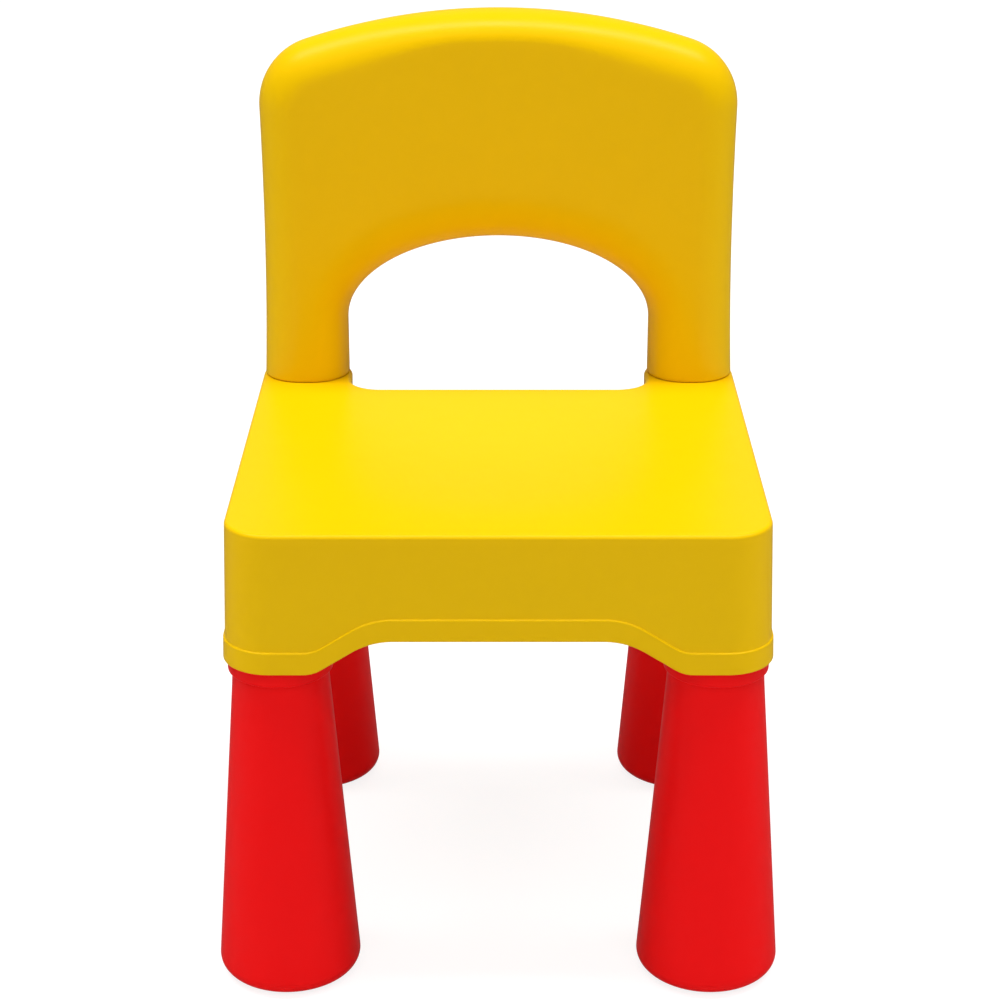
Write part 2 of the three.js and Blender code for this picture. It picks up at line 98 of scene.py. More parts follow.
LEG_X = (leg_low.x + leg_high.x) / 2
LEG_Y = -(leg_low.y + leg_high.y) / 2
FOOT_RADIUS = (leg_high.x - leg_low.x) / 2
LEG_BOTTOM = leg_low.z
PLUG_TOP = leg_high.z
COLLAR_TOP = RIM_LOW - GAP
COLLAR_RADIUS = 24.6 * MM            # the ring at a leg's top that meets the seat
COLLAR_UNDERSIDE = 160.5 * MM
COLLAR_ROUND = 1.2 * MM              # rounding of the collar's lower edge
COLLAR_COVE = 0.8 * MM               # hollow curve where the neck meets the collar
NECK_RADIUS = 22.6 * MM
NECK_TOP = 158 * MM
FOOT_ROUND = 7.2 * MM
FOOT_TANGENT = 4.4                   # degrees past level at which the foot's round meets the cone
LEG_WALL = 2.6 * MM
PLUG_RADIUS = 18.6 * MM              # the plug above the collar, and its bayonet lugs
LUG_COUNT = 3
LUG_REACH = 2.1 * MM
LUG_BOTTOM = COLLAR_TOP + 4 * MM
LUG_TOP = COLLAR_TOP + 8 * MM
LUG_HALF_ANGLE = math.radians(14)
PLUG_CHAMFER = 1.5 * MM
SOCKET_OUTER = 22.6 * MM
SOCKET_BORE = PLUG_RADIUS + GAP
SOCKET_GROOVE = PLUG_RADIUS + LUG_REACH + GAP
LUG_CLEARANCE = SOCKET_GROOVE + 0.2 * MM

PAD_RADIUS = (pad_high.x - pad_low.x) / 2
PAD_THICKNESS = 3 * MM
PAD_BOSS_TOP = pad_high.z
PAD_BOSS_RADIUS = 21.6 * MM
PAD_BOSS_WALL = 2.5 * MM
PAD_ROUND = 0.6 * MM                 # rounding of the pad's lower edge
GRIP_RINGS = 4
GRIP_PITCH = 5 * MM
GRIP_START = 3 * MM                  # radius of the plain disc inside the first groove
GRIP_DEPTH = 0.7 * MM

BACK_TOP = back_high.z
BACK_FRONT = back_low.y
BACK_REAR = back_high.y
BACK_MIDDLE = (BACK_FRONT + BACK_REAR) / 2
BACK_HALF = (BACK_REAR - BACK_FRONT) / 2
POST_FOOT = SEAT_TOP + GAP
POST_X = 101.8 * MM                  # middle of a post
BACK_FOOT_HALF_X = back_high.x
BACK_HALF_X = BACK_FOOT_HALF_X - 1.4 * MM
BACK_WAIST_X = BACK_FOOT_HALF_X - 3.1 * MM
BACK_WAIST = 300 * MM                # height that the side edge's curve is drawn towards
CROWN_RADIUS = 318 * MM
BACK_CORNER = 35 * MM
ARCH_HALF_X = 79.5 * MM              # the opening under the backrest
ARCH_RISE = 44.5 * MM
ARCH_SPRING = 267 * MM               # height at which its sides start to curve
SIDE_REACH = 20 * MM                 # how far the rounding reaches in from the sides
CROWN_REACH = 14 * MM                # from the middle of the crown, where the edge is tighter
CROWN_TIGHT_X = 20 * MM              # and from there out to the corners it eases
ARCH_REACH = 27 * MM                 # and from the top of the arch
TENON_HALF_X = 17 * MM
TENON_HALF_Y = 14.5 * MM
TENON_BOTTOM = back_low.z
TENON_SLACK = GAP
TENON_WALL = 2.6 * MM
SLEEVE_WALL = 2.9 * MM
FOOT_BEVEL = 0.5 * MM                # the posts' lower ends are drawn in by this much
FOOT_BEVEL_HEIGHT = 0.7 * MM

PANEL_HALF_X = (panel_high.x - panel_low.x) / 2
PANEL_INSET = 27 * MM                # from the backrest's outline to the panel's
PANEL_THICKNESS = 3 * MM
PANEL_FRONT = panel_low.y            # front of the locating rim behind the plate
PANEL_REAR = panel_high.y
PLATE_FRONT = PANEL_REAR - PANEL_THICKNESS
PANEL_CORNER = 9 * MM
PANEL_LEDGE = 3 * MM                 # how wide the ledge under the plate's border is

STEP = 2.4 * MM                      # spacing of the points along an outline
FILL_STEP = 6 * MM                   # spacing of the points inside a filled face
TURN_STEPS = 96                      # points round a turned piece
SHANK_STEPS = 24                     # steps along a leg's tapered shank
CORNER_STEPS = 20                    # steps round an upper corner of the backrest
ARCH_STEPS = 44                      # steps along half of the arch
ROLL_STEPS = 26                      # steps round the backrest's edge, from front to rear
SPAN_STEPS = 60                      # steps along the panel's upper and lower edges
WELD = 1e-7                          # points nearer than this are one point
SHARP_EDGE = math.radians(38)        # edges that turn more than this stay sharp
QUARTER_TURN = math.pi / 2
TAU = 2 * math.pi


# ---------------------------------------------------------------- mesh helpers
def steps_for(length):
    """How many steps of about STEP a stretch of that length takes."""
    return max(2, math.ceil(length / STEP))


def line_run(a, b, normal):
    """Points with their outward normals along a straight stretch, without its last point."""
    a, b = Vector(a), Vector(b)
    count = steps_for((b - a).length)
    return [(a.lerp(b, i / count), Vector(normal)) for i in range(count)]


def arc_run(centre, radius, start, end, outward=1):
    """The same along an arc. outward is -1 where the material lies outside the arc."""
    count = max(8, steps_for(1.6 * radius * abs(end - start)))
    run = []
    for i in range(count):
        angle = start + (end - start) * i / count
        direction = Vector((math.cos(angle), math.sin(angle)))
        run.append((Vector(centre) + radius * direction, outward * direction))
    return run


def skin(bm, rows, closed=True):
    """Quads between neighbouring rows of vertices."""
    for lower, upper in zip(rows, rows[1:]):
        count = len(lower)
        for i in range(count if closed else count - 1):
            j = (i + 1) % count
            bm.faces.new((lower[i], lower[j], upper[j], upper[i]))


def inside(points, loops):
    """Which points lie inside the loops, counting a loop within another as a hole."""
    hit = np.zeros(len(points), bool)
    x, y = points[:, 0], points[:, 1]
    for loop in loops:
        ring = np.asarray(loop)
        for (x0, y0), (x1, y1) in zip(ring, np.roll(ring, -1, axis=0)):
            if y0 == y1:
                continue
            between = (y0 > y) != (y1 > y)
            hit ^= between & (x < (x1 - x0) * (y - y0) / (y1 - y0) + x0)
    return hit


def fill(bm, rings, axes, place=None):
    """Triangles inside the first ring of vertices and outside the others.

    axes are the two coordinates that the face lies along. place(u, v) gives the point of an
    inner vertex, for a face that isn't a plain plane.
    """
    u, v = axes
    loops = [[(vert.co[u], vert.co[v]) for vert in ring] for ring in rings]
    verts = [vert for ring in rings for vert in ring]
    flat = [Vector(point) for loop in loops for point in loop]
    edges, start = [], 0
    for loop in loops:
        count = len(loop)
        edges += [(start + i, start + (i + 1) % count) for i in range(count)]
        start += count
    if place:
        border = np.array(flat)
        low, high = border.min(0), border.max(0)
        grid_u, grid_v = np.meshgrid(*(np.arange(low[k], high[k], FILL_STEP) for k in (0, 1)))
        grid = np.stack([grid_u.ravel(), grid_v.ravel()], 1)
        grid = grid[inside(grid, loops)]
        gap = np.sqrt(((grid[:, None] - border[None]) ** 2).sum(2)).min(1)
        for point in grid[gap > 0.5 * FILL_STEP]:
            flat.append(Vector(point))
            verts.append(bm.verts.new(place(*point)))
    made, _, faces, origins, _, _ = delaunay_2d_cdt(flat, edges, [], 0, WELD)
    middles = np.array([sum((made[i] for i in face), Vector((0, 0))) / 3 for face in faces])
    for face, kept in zip(faces, inside(middles, loops)):
        if kept:
            bm.faces.new([verts[origins[i][0]] for i in face])


def piece(name, build, shape, material, body, slot, stands_for=()):
    """Makes a mesh piece with build(bm, *shape) and hangs it on a body."""
    bm = bmesh.new()
    build(bm, *shape)
    bmesh.ops.recalc_face_normals(bm, faces=bm.faces)
    mesh = bpy.data.meshes.new(name)
    bm.to_mesh(mesh)
    bm.free()
    mesh.shade_smooth()
    mesh.set_sharp_from_angle(angle=SHARP_EDGE)
    mesh.materials.append(material)
    obj = bpy.data.objects.new(name, mesh)
    bpy.context.scene.collection.objects.link(obj)
    weighted = obj.modifiers.new("even_normals", "WEIGHTED_NORMAL")
    weighted.keep_sharp = True
    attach(obj, body)
    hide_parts(*stands_for)
    return obj


def turned_rings(bm, profile, centre):
    """Rings of vertices for a [radius, height] profile round a vertical axis."""
    rings = []
    for radius, height in profile:
        ring = []
        for i in range(TURN_STEPS):
            angle = TAU * i / TURN_STEPS
            x = centre[0] + radius * math.cos(angle)
            y = centre[1] + radius * math.sin(angle)
            ring.append(bm.verts.new((x, y, height)))
        rings.append(ring)
    return rings


def turned(bm, profile, centre):
    """A closed turned body. The profile starts and ends near the axis."""
    rings = turned_rings(bm, profile, centre)
    skin(bm, rings)
    for ring in (rings[0], rings[-1]):
        hub = bm.verts.new((centre[0], centre[1], ring[0].co.z))
        for i in range(TURN_STEPS):
            bm.faces.new((hub, ring[i], ring[(i + 1) % TURN_STEPS]))


def quarter(radius, height, r, start, end, steps=6):
    """Points of a profile along an arc of radius r about (radius, height). Angles are in degrees."""
    points = []
    for i in range(steps + 1):
        angle = math.radians(start + (end - start) * i / steps)
        points.append((radius + r * math.cos(angle), height + r * math.sin(angle)))
    return points


# ---------------------------------------------------------------- materials
def plastic(name, colour, deep, roughness, gloss):
    """Satin injection-moulded plastic: faint flow marks, a fine eroded grain, uneven polish."""
    material = bpy.data.materials.new(name)
    material.use_nodes = True
    nodes, links = material.node_tree.nodes, material.node_tree.links
    shader = nodes["Principled BSDF"]
    shader.inputs["IOR"].default_value = 1.5
    shader.inputs["Specular IOR Level"].default_value = gloss
    coords = nodes.new("ShaderNodeTexCoord")

    def noise(scale, detail, distortion=0.0):
        node = nodes.new("ShaderNodeTexNoise")
        node.inputs["Scale"].default_value = scale
        node.inputs["Detail"].default_value = detail
        node.inputs["Distortion"].default_value = distortion
        links.new(coords.outputs["Object"], node.inputs["Vector"])
        return node

    flow = noise(9, 3, 0.6)
    tint = nodes.new("ShaderNodeMix")
    tint.data_type = "RGBA"
    tint.inputs["A"].default_value = (*colour, 1)
    tint.inputs["B"].default_value = (*deep, 1)
    links.new(flow.outputs["Fac"], tint.inputs["Factor"])
    links.new(tint.outputs["Result"], shader.inputs["Base Color"])

    polish = noise(40, 5)
    spread = nodes.new("ShaderNodeMapRange")
    spread.inputs["From Min"].default_value = 0.3
    spread.inputs["From Max"].default_value = 0.7
    spread.inputs["To Min"].default_value = roughness - 0.03
    spread.inputs["To Max"].default_value = roughness + 0.03
    links.new(polish.outputs["Fac"], spread.inputs["Value"])
    links.new(spread.outputs["Result"], shader.inputs["Roughness"])

    grain = noise(2200, 2)
    swell = noise(24, 2)
    fine = nodes.new("ShaderNodeBump")
    fine.inputs["Strength"].default_value = 0.12
    fine.inputs["Distance"].default_value = 0.03 * MM
    links.new(grain.outputs["Fac"], fine.inputs["Height"])
    broad = nodes.new("ShaderNodeBump")
    broad.inputs["Strength"].default_value = 0.25
    broad.inputs["Distance"].default_value = 0.3 * MM
    links.new(swell.outputs["Fac"], broad.inputs["Height"])
    links.new(fine.outputs["Normal"], broad.inputs["Normal"])
    links.new(broad.outputs["Normal"], shader.inputs["Normal"])
    return material


def rubber(name):
    """Dull black rubber with a dusty bloom."""
    material = bpy.data.materials.new(name)
    material.use_nodes = True
    nodes, links = material.node_tree.nodes, material.node_tree.links
    shader = nodes["Principled BSDF"]
    coords = nodes.new("ShaderNodeTexCoord")
    dust = nodes.new("ShaderNodeTexNoise")
    dust.inputs["Scale"].default_value = 160
    dust.inputs["Detail"].default_value = 6
    links.new(coords.outputs["Object"], dust.inputs["Vector"])
    ramp = nodes.new("ShaderNodeValToRGB")
    ramp.color_ramp.elements[0].color = (0.008, 0.007, 0.007, 1)
    ramp.color_ramp.elements[1].color = (0.030, 0.028, 0.027, 1)
    links.new(dust.outputs["Fac"], ramp.inputs["Fac"])
    links.new(ramp.outputs["Color"], shader.inputs["Base Color"])
    spread = nodes.new("ShaderNodeMapRange")
    spread.inputs["To Min"].default_value = 0.7
    spread.inputs["To Max"].default_value = 0.92
    links.new(dust.outputs["Fac"], spread.inputs["Value"])
    links.new(spread.outputs["Result"], shader.inputs["Roughness"])
    bump = nodes.new("ShaderNodeBump")
    bump.inputs["Strength"].default_value = 0.4
    bump.inputs["Distance"].default_value = 0.1 * MM
    links.new(dust.outputs["Fac"], bump.inputs["Height"])
    links.new(bump.outputs["Normal"], shader.inputs["Normal"])
    return material


YELLOW = plastic("yellow_plastic", (0.84, 0.518, 0.0005), (0.82, 0.500, 0.0005), 0.31, 0.085)
RED = plastic("red_plastic", (0.95, 0.0045, 0.0055), (0.92, 0.004, 0.005), 0.34, 0.07)
RUBBER = rubber("foot_rubber")


# ---------------------------------------------------------------- seat
def seat_outline():
    """Plan outline of the seat as points with outward normals, anticlockwise from above."""
    x, y = SEAT_HALF_X, SEAT_HALF_Y
    corner, boss, fillet = SEAT_CORNER, BOSS_CORNER, NOTCH_FILLET
    right = QUARTER_TURN
    run = line_run((-x + corner, -y), (x - corner, -y), (0, -1))
    run += arc_run((x - corner, -y + corner), corner, -right, 0)
    run += line_run((x, -y + corner), (x, y - corner), (1, 0))
    run += arc_run((x - corner, y - corner), corner, 0, right)
    run += line_run((x - corner, y), (NOTCH_HALF_X + boss, y), (0, 1))
    run += arc_run((NOTCH_HALF_X + boss, y - boss), boss, right, 2 * right)
    run += line_run((NOTCH_HALF_X, y - boss), (NOTCH_HALF_X, NOTCH_Y + fillet), (-1, 0))
    run += arc_run((NOTCH_HALF_X - fillet, NOTCH_Y + fillet), fillet, 0, -right, -1)
    run += line_run((NOTCH_HALF_X - fillet, NOTCH_Y), (-NOTCH_HALF_X + fillet, NOTCH_Y), (0, 1))
    run += arc_run((-NOTCH_HALF_X + fillet, NOTCH_Y + fillet), fillet, -right, -2 * right, -1)
    run += line_run((-NOTCH_HALF_X, NOTCH_Y + fillet), (-NOTCH_HALF_X, y - boss), (1, 0))
    run += arc_run((-NOTCH_HALF_X - boss, y - boss), boss, 0, right)
    run += line_run((-NOTCH_HALF_X - boss, y), (-x + corner, y), (0, 1))
    run += arc_run((-x + corner, y - corner), corner, right, 2 * right)
    run += line_run((-x, y - corner), (-x, -y + corner), (-1, 0))
    run += arc_run((-x + corner, -y + corner), corner, 2 * right, 3 * right)
    return run


def wave(distance):
    """How far the rim has risen at that distance from the middle of a side."""
    t = abs(distance)
    slope = WAVE_SLOPE
    radii = WAVE_LOW_RADIUS + WAVE_HIGH_RADIUS
    straight = (RIM_RISE - radii * (1 - math.cos(slope))) / math.tan(slope)
    high_at = WAVE_LOW_AT - radii * math.sin(slope) - straight
    from_low, from_high = WAVE_LOW_AT - t, t - high_at
    if from_low <= 0:
        return 0.0
    if from_high <= 0:
        return RIM_RISE
    if from_low <= WAVE_LOW_RADIUS * math.sin(slope):
        return WAVE_LOW_RADIUS - math.sqrt(WAVE_LOW_RADIUS**2 - from_low**2)
    if from_high <= WAVE_HIGH_RADIUS * math.sin(slope):
        return RIM_RISE - WAVE_HIGH_RADIUS + math.sqrt(WAVE_HIGH_RADIUS**2 - from_high**2)
    start = WAVE_LOW_RADIUS * (1 - math.cos(slope))
    return start + (from_low - WAVE_LOW_RADIUS * math.sin(slope)) * math.tan(slope)


def rim_height(point):
    """Height of the skirt's lower edge: two waves, one for each pair of sides."""
    return RIM_LOW + max(wave(point.x), wave(point.y))


def drafted(point, height):
    """The outline grows towards the rim, as the mould's draft makes it."""
    drop = max(0.0, SEAT_TOP - SEAT_EDGE - height)
    grow = 1 + RIM_SPREAD * drop / (SEAT_TOP - SEAT_EDGE - RIM_LOW)
    return (point.x * grow, point.y * grow, height)


def skirt_profile(rim):
    """[inset, height] from the sitting surface over the edge, down the skirt and up inside it."""
    shoulder = SEAT_TOP - SEAT_EDGE
    points = [(SEAT_EDGE + 0.5 * MM, SEAT_TOP)]
    for i in range(10):
        a = math.radians(10 * i)
        points.append((SEAT_EDGE * (1 - math.sin(a)), SEAT_TOP - SEAT_EDGE * (1 - math.cos(a))))
    ledge = rim + BAND_HEIGHT
    for share in (0.03, 0.2, 0.4, 0.6, 0.8, 0.94):
        points.append((0, shoulder + (ledge - shoulder) * share))
    # The band's upper edge: a small hollow, then a rounded shoulder.
    step_out = 0.18 * MM
    points += [(0, ledge + 0.5 * MM), (-0.04 * MM, ledge + 0.15 * MM), (-step_out, ledge)]
    turn = BAND_PROUD - step_out
    for angle in (20, 40, 60, 80, 90):
        a = math.radians(angle)
        points.append((-step_out - turn * math.sin(a), ledge - turn * (1 - math.cos(a))))
    soft = 0.9 * MM
    points += [(-BAND_PROUD, ledge - 1.6 * MM), (-BAND_PROUD, (ledge + rim) / 2)]
    points += [(-BAND_PROUD, rim + soft + 0.4 * MM)]
    for angle in (0, 22.5, 45, 67.5, 90):
        a = math.radians(angle)
        points.append((-BAND_PROUD + soft * (1 - math.cos(a)), rim + soft * (1 - math.sin(a))))
    # Up the inside, from a softened lip to a cove under the sitting surface.
    lip = 0.5 * MM
    points += [(SEAT_WALL - lip, rim), (SEAT_WALL, rim + lip)]
    cove = 2 * MM
    for share in (0.1, 0.5, 1.0):
        points.append((SEAT_WALL, rim + lip + (CEILING - cove - rim - lip) * share))
    for angle in (30, 60, 90):
        a = math.radians(angle)
        points.append((SEAT_WALL + cove * (1 - math.cos(a)), CEILING - cove * (1 - math.sin(a))))
    return points


def seat_surface(x, y):
    """The sitting surface, with its shallow dish."""
    out = (x / DISH_HALF_X) ** 2 + ((y - DISH_Y) / DISH_HALF_Y) ** 2
    sink = DISH_DEPTH * (1 - out) ** 2 if out < 1 else 0.0
    return (x, y, SEAT_TOP - sink)


def ellipse_ring(bm, centre_x, half_x, half_y, height, count=72):
    """A level ring of vertices round a post's tenon."""
    ring = []
    for i in range(count):
        angle = TAU * i / count
        x = centre_x + half_x * math.cos(angle)
        y = BACK_MIDDLE + half_y * math.sin(angle)
        ring.append(bm.verts.new((x, y, height)))
    return ring


def clear_of_lugs(x, y):
    """Moves a point of the skirt's inside out of the way of the bayonet lugs turning beside it."""
    across, along = abs(x) - LEG_X, abs(y) - LEG_Y
    distance = math.hypot(across, along)
    if distance >= LUG_CLEARANCE:
        return (x, y)
    push = LUG_CLEARANCE / distance
    return (math.copysign(LEG_X + push * across, x), math.copysign(LEG_Y + push * along, y))


def build_seat(bm):
    """The seat's shell: sitting surface, skirt and rim band, with two mouths for the tenons."""
    run = seat_outline()
    rows = []
    profiles = [skirt_profile(rim_height(point)) for point, _ in run]
    for level in range(len(profiles[0])):
        row = []
        for (point, normal), profile in zip(run, profiles):
            inset, height = profile[level]
            x, y, z = drafted(point - inset * normal, height)
            on_the_inside = inset > SEAT_WALL / 2
            if on_the_inside:
                x, y = clear_of_lugs(x, y)
            row.append(bm.verts.new((x, y, z)))
        rows.append(row)
    skin(bm, rows)
    mouths, ceilings = [], []
    half_x, half_y = TENON_HALF_X + TENON_SLACK, TENON_HALF_Y + TENON_SLACK
    for side in (-1, 1):
        levels = [(0.7 * MM, 0), (0.2 * MM, 0.2 * MM), (0, 0.7 * MM), (0, SEAT_TOP - CEILING)]
        rings = [
            ellipse_ring(bm, side * POST_X, half_x + grow, half_y + grow, SEAT_TOP - drop)
            for grow, drop in levels
        ]
        skin(bm, rings)
        mouths.append(rings[0])
        ceilings.append(rings[-1])
    fill(bm, [rows[0], *mouths], (0, 1), seat_surface)
    fill(bm, [rows[-1], *ceilings], (0, 1))


def bar(bm, low, high, taper):
    """A straight rib: a box whose lower edge is thinner by taper on each long side."""
    along = 0 if high[0] - low[0] > high[1] - low[1] else 1
    corners = []
    for z, thin in ((low[2], taper), (high[2], 0.0)):
        a = [low[0] + (thin if along == 1 else 0), low[1] + (thin if along == 0 else 0)]
        b = [high[0] - (thin if along == 1 else 0), high[1] - (thin if along == 0 else 0)]
        ring = [(a[0], a[1], z), (b[0], a[1], z), (b[0], b[1], z), (a[0], b[1], z)]
        corners.append([bm.verts.new(co) for co in ring])
    skin(bm, corners)
    bm.faces.new(corners[0])
    bm.faces.new(corners[1])


def build_ribs(bm):
    """The grid of ribs under the sitting surface. The cross ribs are a little shallower."""
    half = RIB_THICKNESS / 2
    low = CEILING - RIB_HEIGHT
    top = CEILING + OVERLAP
    front, rear = -SEAT_HALF_Y + SEAT_WALL / 2, NOTCH_Y - SEAT_WALL / 2
    reach = SEAT_HALF_X - SEAT_WALL / 2
    for x in RIBS_AT_X:
        bar(bm, (x - half, front, low), (x + half, rear, top), RIB_TAPER)
    for y in RIBS_AT_Y:
        bar(bm, (-reach, y - half, low + CROSS_RIB_SHORTER), (reach, y + half, top), RIB_TAPER)


def build_socket(bm, centre, rear):
    """A leg's socket: a tube with a groove for the bayonet lugs, closed at the top."""
    closed_at = PLUG_TOP + 1.8 * MM if rear else CEILING - 3 * MM
    top = closed_at + 4 * MM if rear else CEILING + OVERLAP
    soft = 0.5 * MM
    turned(bm, [
        (HUB, closed_at),
        (SOCKET_BORE, closed_at),
        (SOCKET_BORE, LUG_TOP + 2 * GAP),
        (SOCKET_GROOVE, LUG_TOP + 2 * GAP),
        (SOCKET_GROOVE, LUG_BOTTOM - GAP),
        (SOCKET_BORE, LUG_BOTTOM - GAP),
        (SOCKET_BORE, RIM_LOW + soft),
        (SOCKET_BORE + soft, RIM_LOW),
        (SOCKET_OUTER - soft, RIM_LOW),
        (SOCKET_OUTER, RIM_LOW + soft),
        (SOCKET_OUTER, top),
        (HUB, top),
    ], centre)


def build_sleeve(bm, side):
    """The seat's blind elliptical sleeve for one backrest tenon."""
    floor = TENON_BOTTOM - 1.5 * MM
    underside = floor - 2.5 * MM
    top = CEILING + OVERLAP
    ease = TENON_SLACK + 0.05 * MM
    inner_x, inner_y = TENON_HALF_X + ease, TENON_HALF_Y + ease
    levels = [(0, floor), (0, top), (SLEEVE_WALL, top), (SLEEVE_WALL, underside)]
    rings = [
        ellipse_ring(bm, side * POST_X, inner_x + grow, inner_y + grow, height)
        for grow, height in levels
    ]
    skin(bm, rings)
    bm.faces.new(rings[0])
    bm.faces.new(rings[-1])


# ---------------------------------------------------------------- backrest
def smooth(t):
    """Eases from 0 to 1 as t does, level at both ends."""
    t = min(1.0, max(0.0, t))
    return t * t * (3 - 2 * t)


def mirrored(half):
    """The other half of an edge that is given from one side to the middle, without the middle."""
    return [(Vector((-p.x, p.y)), Vector((-n.x, n.y)), reach) for p, n, reach in half[-2::-1]]


def back_edge():
    """The backrest's outer edge from the left foot over the crown to the right foot.

    Each entry is the point in X and Z, its outward normal, and how far the rounding reaches in.
    """
    crown_centre = BACK_TOP - CROWN_RADIUS
    corner_x = BACK_HALF_X - BACK_CORNER
    corner_z = crown_centre + math.sqrt((CROWN_RADIUS - BACK_CORNER) ** 2 - corner_x**2)
    meet = math.atan2(corner_z - crown_centre, corner_x)
    start = Vector((BACK_FOOT_HALF_X, SEAT_TOP))
    waist = Vector((BACK_WAIST_X, BACK_WAIST))
    end = Vector((BACK_HALF_X, corner_z))
    half = []
    count = steps_for(corner_z - POST_FOOT)
    for i in range(count):
        t = i / count
        point = (1 - t) ** 2 * start + 2 * t * (1 - t) * waist + t**2 * end
        slope = (2 * (1 - t) * (waist - start) + 2 * t * (end - waist)).normalized()
        half.append((point, Vector((slope.y, -slope.x)), SIDE_REACH))
    for i in range(CORNER_STEPS):
        angle = meet * i / CORNER_STEPS
        direction = Vector((math.cos(angle), math.sin(angle)))
        half.append((Vector((corner_x, corner_z)) + BACK_CORNER * direction, direction, SIDE_REACH))
    crown_turn = QUARTER_TURN - meet
    count = steps_for(CROWN_RADIUS * crown_turn)
    for i in range(count + 1):
        angle = meet + crown_turn * i / count
        direction = Vector((math.cos(angle), math.sin(angle)))
        point = Vector((0, crown_centre)) + CROWN_RADIUS * direction
        ease = smooth((point.x - CROWN_TIGHT_X) / (corner_x - CROWN_TIGHT_X))
        half.append((point, direction, CROWN_REACH + (SIDE_REACH - CROWN_REACH) * ease))
    return half + mirrored(half)


def arch_edge():
    """The opening's edge from the right foot up and over to the left foot, in the same form."""
    half = []
    count = steps_for(ARCH_SPRING - POST_FOOT)
    for i in range(count):
        z = POST_FOOT + (ARCH_SPRING - POST_FOOT) * i / count
        half.append((Vector((ARCH_HALF_X, z)), Vector((-1, 0)), SIDE_REACH))
    for i in range(ARCH_STEPS + 1):
        t = QUARTER_TURN * i / ARCH_STEPS
        point = Vector((ARCH_HALF_X * math.cos(t), ARCH_SPRING + ARCH_RISE * math.sin(t)))
        normal = Vector((-math.cos(t) / ARCH_HALF_X, -math.sin(t) / ARCH_RISE)).normalized()
        half.append((point, normal, SIDE_REACH + (ARCH_REACH - SIDE_REACH) * smooth(math.sin(t))))
    return (half + mirrored(half))[::-1]


def rolled(bm, edge):
    """Rows of vertices from the front face round the edge to the rear face.

    Behind the middle the rounding reaches in no further than at the sides, clear of the panel.
    """
    rows = []
    for k in range(ROLL_STEPS + 1):
        angle = math.pi * k / ROLL_STEPS
        row = []
        for point, normal, reach in edge:
            if angle > QUARTER_TURN:
                reach = min(reach, SIDE_REACH)
            at = point - reach * (1 - math.sin(angle)) * normal
            at.y = max(at.y, POST_FOOT + FOOT_BEVEL_HEIGHT)
            row.append(bm.verts.new((at.x, BACK_MIDDLE - BACK_HALF * math.cos(angle), at.y)))
        rows.append(row)
    return rows


def panel_outline(grow):
    """Outline of the rear panel in X and Z, grown outwards by grow."""
    x = PANEL_HALF_X + grow
    crown_centre = BACK_TOP - CROWN_RADIUS
    crown = CROWN_RADIUS - PANEL_INSET + grow
    arch_x = ARCH_HALF_X + PANEL_INSET - grow
    arch_z = ARCH_RISE + PANEL_INSET - grow
    cut = x - PANEL_CORNER

    def upper(at):
        return crown_centre + math.sqrt(crown**2 - at**2)

    def lower(at):
        return ARCH_SPRING + arch_z * math.sqrt(1 - (at / arch_x) ** 2)

    def bend(a, b, c, steps=8):
        """A rounded corner from a to c, drawn towards b, without its last point."""
        points = []
        for i in range(steps):
            t = i / steps
            points.append(tuple(
                (1 - t) ** 2 * a[k] + 2 * t * (1 - t) * b[k] + t**2 * c[k] for k in (0, 1)
            ))
        return points

    spans = [-cut + 2 * cut * i / SPAN_STEPS for i in range(SPAN_STEPS)]
    outline = [(at, lower(at)) for at in spans]
    outline += bend((cut, lower(cut)), (x, lower(x)), (x, lower(x) + PANEL_CORNER))
    outline += bend((x, upper(x) - PANEL_CORNER), (x, upper(x)), (cut, upper(cut)))
    outline += [(-at, upper(at)) for at in spans]
    outline += bend((-cut, upper(cut)), (-x, upper(x)), (-x, upper(x) - PANEL_CORNER))
    outline += bend((-x, lower(x) + PANEL_CORNER), (-x, lower(x)), (-cut, lower(cut)))
    return outline


def panel_ring(bm, grow, y):
    """The panel's outline, grown outwards by grow, as vertices at one depth."""
    return [bm.verts.new((x, y, z)) for x, z in panel_outline(grow)]


def upright(y):
    """Places an inner vertex of a face that stands in the plane at that depth."""
    return lambda u, v: (u, y, v)


def build_backrest(bm):
    """The backrest's front moulding with its posts, and the recess for the rear panel."""
    outer = rolled(bm, back_edge())
    arch = rolled(bm, arch_edge())
    skin(bm, outer, closed=False)
    skin(bm, arch, closed=False)

    # The feet: a section of each post, drawn in a little where it meets the seat.
    for last, side in ((0, 1), (-1, -1)):
        first = -1 if last == 0 else 0
        section = [row[last] for row in outer] + [row[first] for row in arch][::-1]
        middle = Vector((side * POST_X, BACK_MIDDLE))
        foot = []
        for vert in section:
            toward = Vector((vert.co.x, vert.co.y)) - middle
            at = middle + toward * (1 - FOOT_BEVEL / toward.length)
            foot.append(bm.verts.new((at.x, at.y, POST_FOOT)))
        skin(bm, [section, foot])
        fill(bm, [foot], (0, 1))

    front = outer[0] + arch[0]
    fill(bm, [front], (0, 2), upright(BACK_FRONT))

    # The rear face, with the recess and the ledge that the panel sits on.
    ledge = PLATE_FRONT - GAP
    bevel = 0.5 * MM
    recess = [
        panel_ring(bm, GAP + bevel, BACK_REAR),
        panel_ring(bm, GAP, BACK_REAR - bevel),
        panel_ring(bm, GAP, ledge),
        panel_ring(bm, -PANEL_LEDGE, ledge),
        panel_ring(bm, -PANEL_LEDGE, BACK_MIDDLE),
    ]
    skin(bm, recess)
    fill(bm, [recess[-1]], (0, 2))
    fill(bm, [outer[-1] + arch[-1], recess[0]], (0, 2), upright(BACK_REAR))


